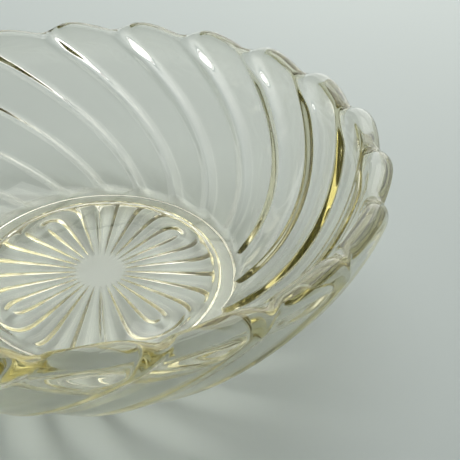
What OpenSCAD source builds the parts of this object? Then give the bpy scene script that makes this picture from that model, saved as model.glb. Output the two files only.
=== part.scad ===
// Pressed-glass bowl with swirled flutes, a scalloped rim and a star in its base.
// The bowl is one piece of glass. It is laid out here as its four zones, which meet face to face:
// the foot ring, the base with its star, the fluted wall and the scalloped rim.

/* [Bowl] */
// Inside diameter of the rim, at the notches between the flutes
rim_d = 166; // [150:1:190]
// Diameter of the foot ring outside, which is also where the wall starts inside
base_d = 91.4; // [80:0.2:100]
// Depth inside, from the floor to the notches of the rim
bowl_depth = 47.3; // [36:0.1:58]
// How far the wall's inner profile bulges out from a straight cone
wall_bulge = 6.6; // [3.5:0.1:8.5]
// Thickness of the wall, square to its profile
wall_t = 5.9; // [4.5:0.1:7]
// Thickness of the floor, above the foot ring
floor_t = 6; // [5:0.1:8]

/* [Foot ring] */
// Height of the foot ring
foot_h = 2.4; // [1.6:0.1:4]
// Width of the foot ring
foot_w = 5; // [3.6:0.1:7]
// Rounding of the foot ring's lower edges
foot_round = 0.9; // [0.4:0.1:1.4]

/* [Flutes] */
// Number of flutes around the wall
flutes = 20; // [12:1:24]
// Turn of each flute from the floor to the rim, in degrees
swirl_angle = 49.2; // [0:0.2:60]
// Step from one flute to the next at the floor, inside and outside, along the radius
step_at_floor = 2.1; // [0.8:0.1:2.4]
// Step inside at the rim, before it fades
step_at_rim = 2.6; // [1.5:0.1:4]
// What is left of the inside step at the lip
step_at_lip = 0.9; // [0.6:0.1:2]
// Length of wall over which the inside step fades
fade_run = 7; // [4:0.5:12]
// Distance below the notches at which it has faded
fade_end = 4; // [2:0.5:7]
// Share of a flute's width that the inside step takes
step_share = 0.085; // [0.06:0.005:0.14]
// Step outside at the rim
outer_step_at_rim = 2.8; // [1.5:0.1:4]
// Share of a flute's width that the outside step takes
outer_step_share = 0.18; // [0.16:0.01:0.3]
// How far the outside steps follow behind the inside ones, in flutes
outer_lag = 0.12; // [0:0.01:0.16]

/* [Rim] */
// Height of each scallop above the notches
scallop_h = 3.2; // [1:0.1:5]
// How far each scallop's start follows behind its flute's step, in flutes
scallop_lag_share = 0.11; // [0:0.01:0.3]
// Place of a scallop's peak along it, counted from its start
scallop_peak_share = 0.52; // [0.3:0.01:0.7]
// Height of the rim zone, from its lower edge to the notches
rim_h = 8; // [6:0.5:12]

/* [Star] */
// Diameter of the field that the star fills, inside the foot ring
star_d = 78; // [60:0.5:79]
// Diameter of the plain disc at the star's centre
star_disc_d = 15.5; // [12:0.5:26]
// Number of lobes, each a finger with arched ribs around it
star_lobes = 4; // [3:1:6]
// Number of ribs in each lobe
ribs_per_lobe = 7; // [5:2:9]
// Radius at which each lobe's middle finger closes
finger_r = 33; // [24:0.5:36]
// Depth of the creases between the ribs, at the outside of the star
crease_depth = 1.4; // [0.6:0.1:2]
// Depth of the whole star field above the foot ring's seat
field_depth = 0.4; // [0.2:0.1:1]
// Turn of the star from the X axis, in degrees
star_turn = 32; // [0:1:90]

/* [Hidden] */

// Fineness of the round and of the loft grids
round_facets = 180;
wall_levels = 8;
lip_facets = 6;
rim_levels = 3;
step_facets = 3;
step_end_facets = 2;
ease_facets = 6;
rib_facets = 6;
star_rings = 9;

// Shape rules: how the swirl gathers, how a scallop swells, how sharply a finger closes,
// how a crease deepens on its way out and how narrow it is
swirl_power = 1.03;
scallop_power = 1.46;
close_power = 14;
deepen_power = 0.6;
crease_power = 1.2;

// Heights
floor_z = foot_h + floor_t;
rim_z = floor_z + bowl_depth;
seam_z = rim_z - rim_h;

// The wall's inner profile is an arc; the outer one is the same arc, one wall further out
base_r = base_d / 2;
wall_run = (rim_d - base_d) / 2;
wall_chord = norm([wall_run, bowl_depth]);
inner_arc = (pow(wall_chord / 2, 2) + pow(wall_bulge, 2)) / (2 * wall_bulge);
outer_arc = inner_arc + wall_t;
mid_arc = inner_arc + wall_t / 2;
chord_tilt = atan2(bowl_depth, wall_run);
half_turn = asin(wall_chord / 2 / inner_arc);
floor_tilt = chord_tilt - half_turn;
rim_tilt = chord_tilt + half_turn;
arc_r = base_r - inner_arc * sin(floor_tilt);
arc_z = floor_z + inner_arc * cos(floor_tilt);
foot_inner_r = base_r - foot_w;

// Places around one flute, from 0 at its step to just under 1: close together on the steps
flute_places = concat(
    [for (i = [0 : step_facets - 1]) step_share * i / step_facets],
    [for (i = [0 : step_end_facets - 1])
        step_share + (outer_step_share - step_share) * i / step_end_facets],
    [for (i = [0 : ease_facets - 1])
        outer_step_share + (1 - outer_step_share) * i / ease_facets]
);

function smooth(x) = x * x * (3 - 2 * x);

// Outward reach of a flute, from 0 in the notch to 1 just past a step that takes a share of it
function flute_reach(place, share) =
    place < share ? smooth(place / share) : (1 - place) / (1 - share);

// Height of a scallop, from 0 at its start to 1 at its peak
function scallop_rise(place) =
    let (
        along = place < scallop_lag_share ? place - scallop_lag_share + 1 : place - scallop_lag_share,
        half = along < scallop_peak_share
            ? along / scallop_peak_share / 2
            : 0.5 + (along - scallop_peak_share) / (1 - scallop_peak_share) / 2
    )
    pow(max(0, sin(180 * half)), scallop_power);

// Share of the way from the floor to the rim, along the profile
function climb(tilt) = max(0, (tilt - floor_tilt) / (rim_tilt - floor_tilt));

// Step of the inner face at a tilt: it grows towards the rim and fades under the lip
function inner_step(tilt) =
    let (
        below_rim = (rim_tilt - tilt) * PI / 180 * inner_arc,
        faded = smooth(min(1, max(0, 1 + (fade_end - below_rim) / fade_run)))
    )
    (step_at_floor + (step_at_rim - step_at_floor) * climb(tilt))
        * (1 - faded * (1 - step_at_lip / step_at_rim));

// Step of the outer face at a tilt
function outer_step(tilt) = step_at_floor + (outer_step_at_rim - step_at_floor) * climb(tilt);

// Tilt at which an arc of the profile reaches a height
function tilt_at(arc, z) = acos((arc_z - z) / arc);

// Plain radius of an arc of the profile at a height, without flutes
function radius_at(arc, z) = arc_r + arc * sin(tilt_at(arc, z));

// A point of the fluted wall: on which arc, at which tilt, on which flute and where on it,
// and how far through the wall, from 0 on the inner face to 1 on the outer
function wall_point(arc, tilt, flute, place, outer) =
    let (
        step = inner_step(tilt) * flute_reach(place, step_share) * (1 - outer)
            + outer_step(tilt) * flute_reach(place, outer_step_share) * outer,
        r = arc_r + arc * sin(tilt) + step,
        turn = swirl_angle * pow(climb(tilt), swirl_power)
            - (flute + place + outer_lag * outer) * 360 / flutes
    )
    [r * cos(turn), r * sin(turn), arc_z - arc * cos(tilt)];

// All the points at one height on one face, going round the bowl
function wall_ring(arc, z, outer) = [
    for (flute = [0 : flutes - 1], place = flute_places)
        wall_point(arc, tilt_at(arc, z), flute, place, outer)
];

// Triangles between rows of points that close on themselves both ways
function loop_faces(rows, columns) = [
    for (row = [0 : rows - 1], column = [0 : columns - 1])
        let (
            next_row = (row + 1) % rows,
            next_column = (column + 1) % columns,
            a = row * columns + column,
            b = row * columns + next_column,
            c = next_row * columns + next_column,
            d = next_row * columns + column
        )
        each [[a, b, c], [a, c, d]]
];

// A closed skin over rows of points, each row going round the bowl
module loft(rows) {
    columns = len(rows[0]);
    polyhedron(
        points = [for (row = rows) each row],
        faces = loop_faces(len(rows), columns),
        convexity = 12
    );
}

// Foot ring: a low ring with rounded lower edges, flat where it stands
module foot_ring() {
    corner = [for (i = [0 : 4]) 90 * i / 4];
    color([0.86, 0.88, 0.82, 0.5])
        rotate_extrude($fn = round_facets)
            polygon(concat(
                [[foot_inner_r, foot_h]],
                [for (a = corner)
                    [foot_inner_r + foot_round * (1 - cos(a)), foot_round * (1 - sin(a))]],
                [for (a = corner)
                    [base_r - foot_round * (1 - sin(a)), foot_round * (1 - cos(a))]],
                [[base_r, foot_h]]
            ));
}

// Base: the floor of the bowl and its heel, with the star pressed into its underside
module star_base() {
    heel = [for (i = [0 : wall_levels]) foot_h + floor_t * i / wall_levels];
    color([0.84, 0.88, 0.84, 0.5])
        difference() {
            rotate_extrude($fn = round_facets)
                polygon(concat(
                    [[0, floor_z], [0, foot_h], [base_r, foot_h]],
                    [for (z = heel) if (radius_at(outer_arc, z) > base_r) [radius_at(outer_arc, z), z]]
                ));
            star_field();
        }
}

// Glass that the star takes away: a shallow field whose top is creased between the ribs
module star_field() {
    ribs = star_lobes * ribs_per_lobe;
    columns = ribs * rib_facets;
    radii = [for (i = [0 : star_rings]) (star_disc_d + (star_d - star_disc_d) * i / star_rings) / 2];
    below = foot_h - 1;
    top_rings = [for (r = radii, i = [0 : columns - 1])
        let (a = 360 * i / columns)
        [r * cos(a + star_turn), r * sin(a + star_turn), star_z(r, a)]];
    floor_ring = [for (i = [0 : columns - 1])
        let (a = 360 * i / columns + star_turn)
        [star_d / 2 * cos(a), star_d / 2 * sin(a), below]];
    centre_top = (star_rings + 2) * columns;
    centre_below = centre_top + 1;
    rings = star_rings + 2;
    side_faces = [
        for (ring = [0 : rings - 2], i = [0 : columns - 1])
            let (
                j = (i + 1) % columns,
                a = ring * columns + i,
                b = ring * columns + j,
                c = (ring + 1) * columns + j,
                d = (ring + 1) * columns + i
            )
            each [[a, b, c], [a, c, d]]
    ];
    top_faces = [for (i = [0 : columns - 1]) [centre_top, (i + 1) % columns, i]];
    below_faces = [for (i = [0 : columns - 1])
        [centre_below, (rings - 1) * columns + i, (rings - 1) * columns + (i + 1) % columns]];
    polyhedron(
        points = concat(
            top_rings,
            floor_ring,
            [[0, 0, foot_h + field_depth], [0, 0, below]]
        ),
        faces = concat(side_faces, top_faces, below_faces),
        convexity = 8
    );
}

// Rib count from a lobe's middle: whole numbers on the ribs' crests, halves in the creases
function rib_count(r, a) =
    let (
        lobe = 360 / star_lobes,
        off = a - lobe * round(a / lobe),
        across = off / (lobe / ribs_per_lobe),
        closing = 0.25 * pow(r / finger_r, close_power) * (1 - pow(2 * off / lobe, 2))
    )
    sqrt(across * across + closing);

// Height of the star's underside: flat in the disc, creased between the ribs outside it
function star_z(r, a) =
    let (
        spread = max(0, (r - star_disc_d / 2) / (star_d - star_disc_d) * 2),
        crease = 1 - abs(cos(180 * rib_count(r, a)))
    )
    foot_h + field_depth + crease_depth * pow(spread, deepen_power) * pow(crease, crease_power);

// Fluted wall: from the floor to the rim zone, the same thickness all the way
module fluted_wall() {
    heights = [for (i = [0 : wall_levels]) floor_z + (seam_z - floor_z) * i / wall_levels];
    color([0.80, 0.84, 0.80, 0.5])
        loft(concat(
            [for (i = [0 : wall_levels]) wall_ring(outer_arc, heights[i], 1)],
            [for (i = [wall_levels : -1 : 0]) wall_ring(inner_arc, heights[i], 0)]
        ));
}

// Tilt at which the lip starts to round over, so that the rounding's top follows the scallop
function lip_tilt(place) =
    rim_tilt + (scallop_h * scallop_rise(place) - wall_t / 2) / mid_arc * 180 / PI;

// One face of the rim zone: from the seam to the lip's rounding
function rim_face(arc, part, outer) = [
    for (flute = [0 : flutes - 1], place = flute_places)
        let (start = tilt_at(arc, seam_z))
        wall_point(arc, start + (lip_tilt(place) - start) * part, flute, place, outer)
];

// The lip's rounding, from the outer face at 0 degrees over the top to the inner face at 180
function lip_ring(angle) = [
    for (flute = [0 : flutes - 1], place = flute_places)
        let (advance = wall_t / 2 * sin(angle) / mid_arc * 180 / PI)
        wall_point(mid_arc + wall_t / 2 * cos(angle), lip_tilt(place) + advance, flute, place,
            (1 + cos(angle)) / 2)
];

// Scalloped rim: the top of the wall, rounded over and rising in one scallop per flute
module scalloped_rim() {
    color([0.76, 0.80, 0.72, 0.5])
        loft(concat(
            [for (i = [0 : rim_levels - 1]) rim_face(outer_arc, i / rim_levels, 1)],
            [for (i = [0 : lip_facets]) lip_ring(180 * i / lip_facets)],
            [for (i = [rim_levels - 1 : -1 : 0]) rim_face(inner_arc, i / rim_levels, 0)]
        ));
}

foot_ring();
star_base();
fluted_wall();
scalloped_rim();
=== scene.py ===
import math

import bmesh
import bpy
from mathutils import Matrix, Vector


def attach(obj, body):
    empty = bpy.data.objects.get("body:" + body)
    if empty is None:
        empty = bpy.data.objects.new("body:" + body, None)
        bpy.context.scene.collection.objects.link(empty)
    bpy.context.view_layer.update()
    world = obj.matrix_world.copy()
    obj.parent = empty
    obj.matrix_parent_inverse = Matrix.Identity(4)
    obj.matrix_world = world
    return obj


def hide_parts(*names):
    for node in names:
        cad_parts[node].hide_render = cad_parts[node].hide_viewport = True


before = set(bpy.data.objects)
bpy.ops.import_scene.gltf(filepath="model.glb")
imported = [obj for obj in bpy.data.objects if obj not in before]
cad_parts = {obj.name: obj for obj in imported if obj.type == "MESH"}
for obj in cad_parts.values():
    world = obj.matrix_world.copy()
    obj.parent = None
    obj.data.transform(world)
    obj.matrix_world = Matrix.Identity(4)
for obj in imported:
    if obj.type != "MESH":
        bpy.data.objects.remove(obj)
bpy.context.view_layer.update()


class Wire:  # a socket of a node tree, which Python's operators work on
    def __init__(self, tree, socket=None):
        self.tree = tree
        self.socket = socket

    def node(self, kind, settings=None, sockets=None, give=0):
        # any node: its settings come first, then the values or links of its sockets
        made = self.tree.nodes.new(kind)
        for name, value in (settings or {}).items():
            setattr(made, name, value)
        for name, value in (sockets or {}).items():
            for one in value if isinstance(value, list) else [value]:
                if isinstance(one, Wire):
                    self.tree.links.new(one.socket, made.inputs[name])
                else:
                    made.inputs[name].default_value = one
        return Wire(self.tree, made.outputs[give] if made.outputs else None)

    def give(self, name):  # another output of the same node
        return Wire(self.tree, self.socket.node.outputs[name])

    def maths(self, operation, *values):
        return self.node("ShaderNodeMath", {"operation": operation}, dict(enumerate(values)))

    def __add__(self, other):
        return self.maths("ADD", self, other)

    def __sub__(self, other):
        return self.maths("SUBTRACT", self, other)

    def __rsub__(self, other):
        return self.maths("SUBTRACT", other, self)

    def __mul__(self, other):
        return self.maths("MULTIPLY", self, other)

    def __truediv__(self, other):
        return self.maths("DIVIDE", self, other)

    def __rtruediv__(self, other):
        return self.maths("DIVIDE", other, self)

    def __pow__(self, other):
        return self.maths("POWER", self, other)

    __radd__ = __add__
    __rmul__ = __mul__

    def sine(self):
        return self.maths("SINE", self)

    def cosine(self):
        return self.maths("COSINE", self)

    def least(self, other):
        return self.maths("MINIMUM", self, other)

    def most(self, other):
        return self.maths("MAXIMUM", self, other)

    def held(self):  # kept from 0 to 1
        return self.least(1.0).most(0.0)

    def eased(self):  # kept from 0 to 1, level at both ends
        x = self.held()
        return x * x * (3.0 - 2.0 * x)


# The bowl's sizes, in metres and radians, as the part has them
bowl = {
    "rimRadius": 0.083,      # inside, at the lip
    "baseRadius": 0.0457,    # of the floor inside, and of the foot ring outside
    "depth": 0.0473,
    "bulge": 0.0066,         # of the wall, past a straight one
    "wall": 0.0059,
    "floor": 0.006,
    "footHeight": 0.0024,
    "footWidth": 0.005,
    "footPower": 1 / 3,      # squares the foot ring's section, where 1 would leave it round
    "flutes": 20,
    "swirl": math.radians(49.2),
    "swirlPower": 1.03,
    "stepAtFloor": 0.0021,
    "stepAtRim": 0.0026,
    "stepAtLip": 0.0009,     # to which the inner steps fade under the lip
    "fadeRun": 0.007,
    "fadeEnd": 0.004,        # where the fading ends, below the lip
    "stepShare": 0.085,      # of a flute's width, which an inner step takes
    "outerStepAtRim": 0.0028,
    "outerStepShare": 0.18,
    "outerLag": 0.12,        # of the outer steps behind the inner ones, in flutes
    "scallopHeight": 0.0032,
    "scallopStart": 0.11,    # where a scallop's foot lies, in flutes past the step
    "scallopPeak": 0.52,     # and its peak, as a share of the scallop
    "scallopPower": 1.46,
    "cornerEase": 0.0007,    # rounding where the wall meets the floor inside
    "heelRun": 0.004,        # over which the flutes die away above the foot ring, outside
    "columnsPerFlute": 28,
    "columnsOnStep": 8,
    "mergeWithin": 1e-6,     # points of two strips that lie this close become one
}

star = {
    "radius": 0.039,
    "discRadius": 0.00775,
    "lobes": 4,
    "ribsPerLobe": 7,
    "fingerRadius": 0.033,   # where the ribs close in rounded ends
    "creaseDepth": 0.0014,
    "fieldDepth": 0.0004,
    "turn": math.radians(32),
    "closePower": 14.0,
    "deepenPower": 0.6,
    "creasePower": 1.2,
    "edge": 0.0012,          # width of the slope around the star
}

# The wall's section is an arc, whose tilts are angles from straight down about its centre
floorHeight = bowl["footHeight"] + bowl["floor"]
wallRun = bowl["rimRadius"] - bowl["baseRadius"]
chord = math.hypot(wallRun, bowl["depth"])
innerArc = (chord ** 2 / 4 + bowl["bulge"] ** 2) / (2 * bowl["bulge"])
chordTilt = math.atan2(bowl["depth"], wallRun)
floorTilt = chordTilt - math.asin(chord / 2 / innerArc)
rimTilt = chordTilt + math.asin(chord / 2 / innerArc)
arcRadius = bowl["baseRadius"] - innerArc * math.sin(floorTilt)
arcHeight = floorHeight + innerArc * math.cos(floorTilt)
footTilt = math.asin((bowl["baseRadius"] - arcRadius) / (innerArc + bowl["wall"]))

# The columns of faces under the foot are turned a little, so that one runs along each rib
columns = bowl["flutes"] * bowl["columnsPerFlute"]
columnTurn = 2 * math.pi / columns
evenTurn = star["turn"] - round(star["turn"] / columnTurn) * columnTurn


def newTree(name, sizes):  # a Geometry Nodes tree with a named input for each size
    tree = bpy.data.node_groups.new(name, "GeometryNodeTree")
    tree.interface.new_socket("Geometry", in_out="OUTPUT", socket_type="NodeSocketGeometry")
    tree.interface.new_socket("Geometry", in_out="INPUT", socket_type="NodeSocketGeometry")
    tree.interface.new_socket("Glass", in_out="INPUT", socket_type="NodeSocketMaterial")
    for size, value in sizes.items():
        kind = "NodeSocketInt" if isinstance(value, int) else "NodeSocketFloat"
        tree.interface.new_socket(size, in_out="INPUT", socket_type=kind)
    given = Wire(tree).node("NodeGroupInput")
    return given, {size: given.give(size) for size in sizes}


def strip(start, columnCount, rowCount, place):
    # a strip of faces, placed by a function of the column and of the share of the way along it
    mesh = start.node("GeometryNodeMeshGrid", sockets={
        "Vertices X": columnCount + 1, "Vertices Y": rowCount + 1})
    index = start.node("GeometryNodeInputIndex")
    column = start.maths("FLOOR", index / (rowCount + 1))
    radius, turn, height = place(column, (index - column * (rowCount + 1)) / rowCount)
    point = start.node("ShaderNodeCombineXYZ", sockets={
        "X": radius * turn.cosine(), "Y": radius * turn.sine(), "Z": height})
    return start.node("GeometryNodeSetPosition", sockets={"Geometry": mesh, "Position": point})


def closeTree(given, strips, count):  # turns the strips about the axis, count times
    part = given.node("GeometryNodeJoinGeometry", sockets={"Geometry": strips})
    points = given.node("GeometryNodeMeshLine", sockets={"Count": count, "Offset": (0, 0, 0)})
    spin = given.node("GeometryNodeInputIndex") * (-2 * math.pi) / count
    turned = given.node("FunctionNodeEulerToRotation", sockets={
        "Euler": given.node("ShaderNodeCombineXYZ", sockets={"Z": spin})})
    copies = given.node("GeometryNodeInstanceOnPoints", sockets={
        "Points": points, "Instance": part, "Rotation": turned})
    whole = given.node("GeometryNodeJoinGeometry", sockets={
        "Geometry": [given.give("Geometry"), copies]})
    real = given.node("GeometryNodeRealizeInstances", sockets={"Geometry": whole})
    glazed = given.node("GeometryNodeSetMaterial", sockets={
        "Geometry": real, "Material": given.give("Glass")})
    given.node("NodeGroupOutput", sockets={"Geometry": glazed})
    return given.tree


wallSizes = {
    "Flutes": bowl["flutes"],
    "Columns": bowl["columnsPerFlute"],
    "Columns on step": bowl["columnsOnStep"],
    "Wall": bowl["wall"],
    "Inner arc": innerArc,
    "Arc radius": arcRadius,
    "Arc height": arcHeight,
    "Floor tilt": floorTilt,
    "Rim tilt": rimTilt,
    "Foot tilt": footTilt,
    "Swirl": bowl["swirl"],
    "Swirl power": bowl["swirlPower"],
    "Step at floor": bowl["stepAtFloor"],
    "Step at rim": bowl["stepAtRim"],
    "Step at lip": bowl["stepAtLip"],
    "Fade run": bowl["fadeRun"],
    "Fade end": bowl["fadeEnd"],
    "Step share": bowl["stepShare"],
    "Outer step at rim": bowl["outerStepAtRim"],
    "Outer step share": bowl["outerStepShare"],
    "Outer lag": bowl["outerLag"],
    "Scallop height": bowl["scallopHeight"],
    "Scallop start": bowl["scallopStart"],
    "Scallop peak": bowl["scallopPeak"],
    "Scallop power": bowl["scallopPower"],
    "Corner ease": bowl["cornerEase"],
    "Heel run": bowl["heelRun"],
    "Foot height": bowl["footHeight"],
    "Foot width": bowl["footWidth"],
    "Foot power": bowl["footPower"],
    "Star radius": star["radius"],
    "Even turn": evenTurn,
}


# One flute, from the floor's middle over the lip to the foot ring and the star's edge, which is
# turned about the axis for all the others. Each stretch of it takes a column and the share of
# the way along that column, and gives a point's radius, its turn about the axis and its height.
def wallTree():
    given, size = newTree("swirled wall", wallSizes)
    pitch = 2 * math.pi / size["Flutes"]
    wall, innerArc = size["Wall"], size["Inner arc"]
    outerArc, middleArc = innerArc + wall, innerArc + wall / 2
    floorRadius = size["Arc radius"] + innerArc * size["Floor tilt"].sine()
    floorHeight = size["Arc height"] - innerArc * size["Floor tilt"].cosine()
    footRadius = size["Arc radius"] + outerArc * size["Foot tilt"].sine()
    footTop = size["Arc height"] - outerArc * size["Foot tilt"].cosine()
    cornerTilt = size["Floor tilt"] + size["Corner ease"] / innerArc
    heelTilt = size["Foot tilt"] + size["Heel run"] / outerArc

    def placeOf(column):  # from 0 at the step to 1 at the next one
        onStep = size["Columns on step"]
        beyond = size["Columns"] - onStep
        return (size["Step share"] * column.least(onStep) / onStep
                + (1.0 - size["Step share"]) * (column - onStep).most(0.0) / beyond)

    def reach(place, share):  # outward, from 0 in the notch to 1 just past the step
        return (place / share).eased().least((1.0 - place) / (1.0 - share))

    def rise(place):  # upward, from 0 at the scallop's foot to 1 at its peak
        peak = size["Scallop peak"]
        along = given.maths("FRACT", place - size["Scallop start"] + 1.0)
        half = (along / peak).least(1.0) / 2 + (along - peak).most(0.0) / (1.0 - peak) / 2
        return (half * math.pi).sine().most(0.0) ** size["Scallop power"]

    def lipTilt(place):
        return size["Rim tilt"] + (size["Scallop height"] * rise(place) - wall / 2) / middleArc

    def floorEdge(place):
        return floorRadius + size["Step at floor"] * reach(place, size["Step share"])

    def evenly(column):  # the turn of a column where the flutes have died away
        return size["Even turn"] - column / size["Columns"] * pitch

    def onWall(arc, tilt, place, outer, depth=1.0):  # outer is 0 on the inner face, 1 outside
        up = ((tilt - size["Floor tilt"]) / (size["Rim tilt"] - size["Floor tilt"])).most(0.0)
        innerStep = size["Step at floor"] + (size["Step at rim"] - size["Step at floor"]) * up
        aboveFade = (tilt - size["Rim tilt"]) * innerArc + size["Fade end"]
        fading = (aboveFade / size["Fade run"] + 1.0).eased()
        innerStep = innerStep * (1.0 - fading * (1.0 - size["Step at lip"] / size["Step at rim"]))
        outerRise = size["Outer step at rim"] - size["Step at floor"]
        outerStep = size["Step at floor"] + outerRise * up
        step = (innerStep * reach(place, size["Step share"]) * (1.0 - outer)
                + outerStep * reach(place, size["Outer step share"]) * outer) * depth
        lag = (place + size["Outer lag"] * outer) * pitch
        return (size["Arc radius"] + arc * tilt.sine() + step,
                size["Swirl"] * up ** size["Swirl power"] - lag,
                size["Arc height"] - arc * tilt.cosine())

    def insideFloor(column, along):
        place = placeOf(column)
        edge = floorEdge(place) - size["Corner ease"]
        return edge * along, place * pitch * -1.0, floorHeight + along * 0.0

    def insideCorner(column, along):  # a curve from the floor up into the wall
        place = placeOf(column)
        edge = floorEdge(place)
        topRadius, topTurn, topHeight = onWall(innerArc, cornerTilt, place, 0.0)
        before, after = (1.0 - along) * (1.0 - along), along * along
        amid = 2.0 * along * (1.0 - along)
        return (before * (edge - size["Corner ease"]) + amid * edge + after * topRadius,
                place * pitch * (after - 1.0) + after * topTurn,
                floorHeight + after * (topHeight - floorHeight))

    def insideWall(column, along):
        place = placeOf(column)
        tilt = cornerTilt + (lipTilt(place) - cornerTilt) * along
        return onWall(innerArc, tilt, place, 0.0)

    def overLip(column, along):  # a half round from the inner face to the outer
        place = placeOf(column)
        angle = (1.0 - along) * math.pi
        arc = middleArc + wall / 2 * angle.cosine()
        tilt = lipTilt(place) + wall / 2 * angle.sine() / middleArc
        return onWall(arc, tilt, place, (1.0 + angle.cosine()) / 2)

    def outsideWall(column, along):
        place = placeOf(column)
        tilt = lipTilt(place) + (heelTilt - lipTilt(place)) * along
        return onWall(outerArc, tilt, place, 1.0)

    def heel(column, along):  # the flutes die away, and the columns come to lie evenly
        place = placeOf(column)
        left = 1.0 - along
        tilt = size["Foot tilt"] + size["Heel run"] / outerArc * left
        radius, turn, height = onWall(outerArc, tilt, place, 1.0, left.eased())
        even = evenly(column)
        return radius, even + (turn - even) * left.eased(), height

    def footRing(column, along):  # a rounded square section, flat where it stands
        angle = along * math.pi
        side, down = angle.cosine(), angle.sine().most(0.0)
        out = side.maths("SIGN", side) * side.maths("ABSOLUTE", side) ** size["Foot power"]
        top = footTop + along * (size["Foot height"] - footTop)
        return (footRadius - size["Foot width"] / 2 * (1.0 - out),
                evenly(column),
                top * (1.0 - down ** size["Foot power"]))

    def underside(column, along):
        start = footRadius - size["Foot width"]
        return (start + (size["Star radius"] - start) * along,
                evenly(column),
                size["Foot height"] + along * 0.0)

    stretches = [(insideFloor, 6), (insideCorner, 4), (insideWall, 40), (overLip, 12),
                 (outsideWall, 40), (heel, 6), (footRing, 12), (underside, 2)]  # and their rows
    strips = [strip(given, size["Columns"], rows, stretch) for stretch, rows in stretches]
    return closeTree(given, strips, size["Flutes"])


starSizes = {
    "Lobes": star["lobes"],
    "Ribs": star["ribsPerLobe"],
    "Columns": columns // star["lobes"],
    "Radius": star["radius"],
    "Disc radius": star["discRadius"],
    "Finger radius": star["fingerRadius"],
    "Crease depth": star["creaseDepth"],
    "Field depth": star["fieldDepth"],
    "Foot height": bowl["footHeight"],
    "Edge": star["edge"],
    "Turn": star["turn"],
    "Even turn": evenTurn,
    "Close power": star["closePower"],
    "Deepen power": star["deepenPower"],
    "Crease power": star["creasePower"],
}


def starTree():  # the star in the underside: one lobe of ribs, turned for the others
    given, size = newTree("star base", starSizes)
    lobe = 2 * math.pi / size["Lobes"]

    def ribbed(radius, column):
        turn = size["Even turn"] - column / size["Columns"] * lobe
        off = given.maths("WRAP", turn - size["Turn"], lobe / 2, lobe / -2)  # from a lobe's middle
        across = off / lobe * size["Ribs"]
        closing = ((radius / size["Finger radius"]) ** size["Close power"] / 4
                   * (1.0 - (2.0 * off / lobe) ** 2.0))
        ribs = (across * across + closing) ** 0.5
        outward = radius - size["Disc radius"]
        spread = (outward / (size["Radius"] - size["Disc radius"])).most(0.0)
        crease = 1.0 - given.maths("ABSOLUTE", (ribs * math.pi).cosine())
        depth = (size["Crease depth"] * spread ** size["Deepen power"]
                 * crease ** size["Crease power"])
        slope = ((size["Radius"] - radius) / size["Edge"]).eased()
        return radius, turn, size["Foot height"] + (size["Field depth"] + depth) * slope

    def edge(column, along):
        return ribbed(size["Radius"] - size["Edge"] * along, column)

    def field(column, along):
        start = size["Radius"] - size["Edge"]
        return ribbed(start + (size["Disc radius"] - start) * along, column)

    def disc(column, along):
        return ribbed(size["Disc radius"] * (1.0 - along), column)

    stretches = [(edge, 4), (field, 42), (disc, 4)]
    strips = [strip(given, size["Columns"], rows, stretch) for stretch, rows in stretches]
    return closeTree(given, strips, size["Lobes"])


def addModifier(piece, tree, glass, sizes):
    modifier = piece.modifiers.new(tree.name, "NODES")
    modifier.node_group = tree
    values = dict(sizes, Glass=glass)
    for item in tree.interface.items_tree:
        if item.in_out == "INPUT" and item.name in values:
            modifier[item.identifier] = values[item.name]


glassLook = {
    "ior": 1.5,
    "tint": (0.76, 0.72, 0.38, 1),  # straw, which shows where the light goes through much glass
    "density": 21.0,
    "waveScale": 55.0,       # of the slow waves that fire-polishing leaves
    "waveDetail": 1.0,
    "waveRoughness": 0.4,
    "waveHeight": 0.00003,
    "wornRoughness": 0.12,   # of the foot ring's land, on which the bowl is slid about
    "wornHeight": 0.0004,    # above which it isn't worn
}


def shader(name):
    material = bpy.data.materials.new(name)
    material.use_nodes = True
    material.node_tree.nodes.clear()
    return material, Wire(material.node_tree)


def clearGlass():
    material, start = shader("clearGlass")
    coordinates = start.node("ShaderNodeTexCoord", give="Object")
    height = start.node("ShaderNodeSeparateXYZ", sockets={"Vector": coordinates}).give("Z")
    waves = start.node("ShaderNodeTexNoise", sockets={
        "Vector": coordinates,
        "Scale": glassLook["waveScale"],
        "Detail": glassLook["waveDetail"],
        "Roughness": glassLook["waveRoughness"],
    })
    worn = ((glassLook["wornHeight"] - height) / glassLook["wornHeight"]).held()
    surface = start.node("ShaderNodeBsdfPrincipled", sockets={
        "Base Color": (1, 1, 1, 1),
        "Roughness": worn * glassLook["wornRoughness"],
        "IOR": glassLook["ior"],
        "Transmission Weight": 1.0,
        "Normal": start.node("ShaderNodeBump", sockets={
            "Strength": 1.0, "Distance": glassLook["waveHeight"], "Height": waves}),
    })
    body = start.node("ShaderNodeVolumeAbsorption", sockets={
        "Color": glassLook["tint"], "Density": glassLook["density"]})
    start.node("ShaderNodeOutputMaterial", sockets={"Surface": surface, "Volume": body})
    return material


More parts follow.
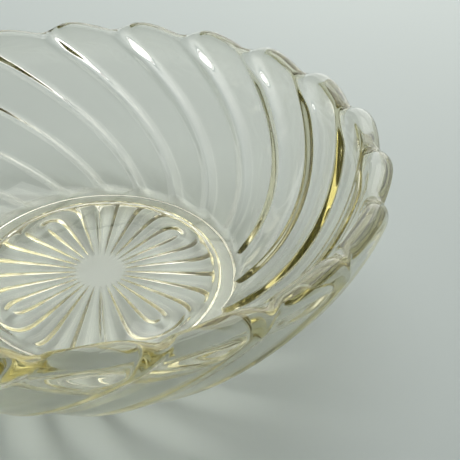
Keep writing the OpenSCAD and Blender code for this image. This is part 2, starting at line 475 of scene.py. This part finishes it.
def makeBowl():  # one closed mesh, because the bowl is one piece of glass
    glass = clearGlass()
    mesh = bpy.data.meshes.new("bowlGlass")
    piece = bpy.data.objects.new("bowlGlass", mesh)
    bpy.context.scene.collection.objects.link(piece)
    addModifier(piece, wallTree(), glass, wallSizes)
    addModifier(piece, starTree(), glass, starSizes)
    print("trees: a wall of", bowl["flutes"], "flutes and a star of", star["lobes"], "lobes")
    evaluated = piece.evaluated_get(bpy.context.evaluated_depsgraph_get())
    done = bpy.data.meshes.new_from_object(evaluated)
    piece.modifiers.clear()
    piece.data = done
    done.name = "bowlGlass"
    shell = bmesh.new()
    shell.from_mesh(done)
    bmesh.ops.remove_doubles(shell, verts=shell.verts, dist=bowl["mergeWithin"])
    bmesh.ops.recalc_face_normals(shell, faces=shell.faces)
    for face in shell.faces:
        face.smooth = True
    openEdges = sum(1 for edge in shell.edges if not edge.is_manifold)
    triangles = sum(len(face.verts) - 2 for face in shell.faces)
    volume = shell.calc_volume(signed=True)
    print("bowl glass:", triangles, "triangles,", openEdges, "open edges, volume", volume)
    shell.to_mesh(done)
    shell.free()
    done.materials.clear()
    done.materials.append(glass)
    return piece


bowlGlass = makeBowl()
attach(bowlGlass, "root")
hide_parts("foot_ring", "star_base", "fluted_wall", "scalloped_rim")


backdrop = {
    "colour": (0.60, 0.66, 0.64, 1),
    "near": 0.35,  # how far from the bowl's axis the table starts to pass into it
    "far": 0.75,   # and where it has done so
}

tableTop = {
    "colour": (0.52, 0.578, 0.556, 1),
    "roughness": 0.5,
    "radius": 3.0,
    "segments": 96,
}


def makeTable():  # pale and plain, and far from the bowl the backdrop is seen in its place
    material, start = shader("paleTable")
    surface = start.node("ShaderNodeBsdfPrincipled", sockets={
        "Base Color": tableTop["colour"], "Roughness": tableTop["roughness"]})
    away = start.node("ShaderNodeVectorMath", {"operation": "LENGTH"}, {
        "Vector": start.node("ShaderNodeTexCoord", give="Object")}, give="Value")
    passed = ((away - backdrop["near"]) / (backdrop["far"] - backdrop["near"])).eased()
    seen = start.node("ShaderNodeLightPath", give="Is Camera Ray")
    seen = seen.most(seen.give("Is Transmission Ray"))
    glow = start.node("ShaderNodeEmission", sockets={"Color": backdrop["colour"]})
    start.node("ShaderNodeOutputMaterial", sockets={
        "Surface": start.node("ShaderNodeMixShader", sockets={
            0: passed * seen, 1: surface, 2: glow})})
    mesh = bpy.data.meshes.new("table")
    disc = bmesh.new()
    bmesh.ops.create_circle(
        disc, cap_ends=True, segments=tableTop["segments"], radius=tableTop["radius"])
    disc.to_mesh(mesh)
    disc.free()
    mesh.materials.append(material)
    table = bpy.data.objects.new("table", mesh)
    bpy.context.scene.collection.objects.link(table)
    print("table:", tableTop["radius"], "m in radius")
    return table


makeTable()


# Where each softbox stands from the bowl, in degrees and m, its width in m and its power in W
lamps = {
    "window": {"azimuth": 75, "elevation": 35, "distance": 1.0, "width": 1.25, "power": 7.1},
    "above": {"azimuth": 60, "elevation": 70, "distance": 0.8, "width": 0.6, "power": 1.92},
    "lowBeside": {"azimuth": 40, "elevation": 10, "distance": 1.2, "width": 1.8, "power": 6.1},
}
lampColour = (1.0, 1.0, 0.98)
upright = Vector((0, 0, 1))


def softbox(name, azimuth, elevation, distance, width, power):  # a square lamp, aimed at the bowl
    light = bpy.data.lights.new(name, "AREA")
    light.shape = "SQUARE"
    light.size = width
    light.energy = power
    light.color = lampColour
    lamp = bpy.data.objects.new(name, light)
    lamp.visible_camera = False  # lights the bowl, and isn't itself seen behind it
    bpy.context.scene.collection.objects.link(lamp)
    azimuth, elevation = math.radians(azimuth), math.radians(elevation)
    outward = Vector((math.cos(azimuth) * math.cos(elevation),
                      math.sin(azimuth) * math.cos(elevation),
                      math.sin(elevation)))
    place = outward * distance
    forward = (-place).normalized()
    right = forward.cross(upright).normalized()
    turn = Matrix((right, right.cross(forward), -forward)).transposed().to_4x4()
    lamp.matrix_world = Matrix.Translation(place) @ turn
    print("lamp:", name, power, "W")


for name, lamp in lamps.items():
    softbox(name, **lamp)


room = {
    "colour": (0.60, 0.64, 0.63, 1),
    "strength": 0.25,
}


def makeWorld():  # a dim room, which the camera sees as the backdrop
    world = bpy.data.worlds.new("studio")
    world.use_nodes = True
    world.node_tree.nodes.clear()
    start = Wire(world.node_tree)
    dim = start.node("ShaderNodeBackground", sockets={
        "Color": room["colour"], "Strength": room["strength"]})
    pale = start.node("ShaderNodeBackground", sockets={"Color": backdrop["colour"]})
    seen = start.node("ShaderNodeLightPath", give="Is Camera Ray")
    start.node("ShaderNodeOutputWorld", sockets={
        "Surface": start.node("ShaderNodeMixShader", sockets={0: seen, 1: dim, 2: pale})})
    bpy.context.scene.world = world
    print("room: a dim world of strength", room["strength"])


makeWorld()


view = {
    "azimuth": math.radians(2.36),  # of the camera about the bowl's axis, from -Y
    "rise": 0.6933,                 # its elevation
    "distance": 0.2545,             # from the middle of the floor inside
    "aimRight": 0.1791,             # how far right of that middle it looks, at a distance of 1
    "aimUp": 0.0277,                # and how far above it
    "roll": 0.0363,
    "lens": 58.27,
    "sensor": 36,
    "nearest": 0.01,
}


def makeCamera():
    camera = bpy.data.cameras.new("camera")
    camera.sensor_width = view["sensor"]
    camera.lens = view["lens"]
    camera.clip_start = view["nearest"]
    back = Vector((0, -math.cos(view["rise"]), math.sin(view["rise"])))
    right = Vector((1, 0, 0))
    up = right.cross(-back)
    aim = (-back + view["aimRight"] * right + view["aimUp"] * up).normalized()
    level = aim.cross(upright).normalized()
    overhead = level.cross(aim)
    cosine, sine = math.cos(view["roll"]), math.sin(view["roll"])
    across = cosine * level + sine * overhead
    above = cosine * overhead - sine * level
    turn = Matrix((across, above, -aim)).transposed().to_4x4()
    place = Matrix.Translation(back * view["distance"] + Vector((0, 0, floorHeight)))
    holder = bpy.data.objects.new("camera", camera)
    bpy.context.scene.collection.objects.link(holder)
    holder.matrix_world = Matrix.Rotation(view["azimuth"], 4, "Z") @ place @ turn
    bpy.context.scene.camera = holder
    print("camera: lens", view["lens"], "mm")


makeCamera()
bpy.context.scene.view_settings.view_transform = "Standard"

# Enough bounces for light that is caught in the glass, and its streaks left sharp and bright
lightPaths = {
    "max_bounces": 24,
    "glossy_bounces": 16,
    "transmission_bounces": 24,
    "blur_glossy": 0.0,
    "sample_clamp_indirect": 0.0,
}
for name, value in lightPaths.items():
    setattr(bpy.context.scene.cycles, name, value)
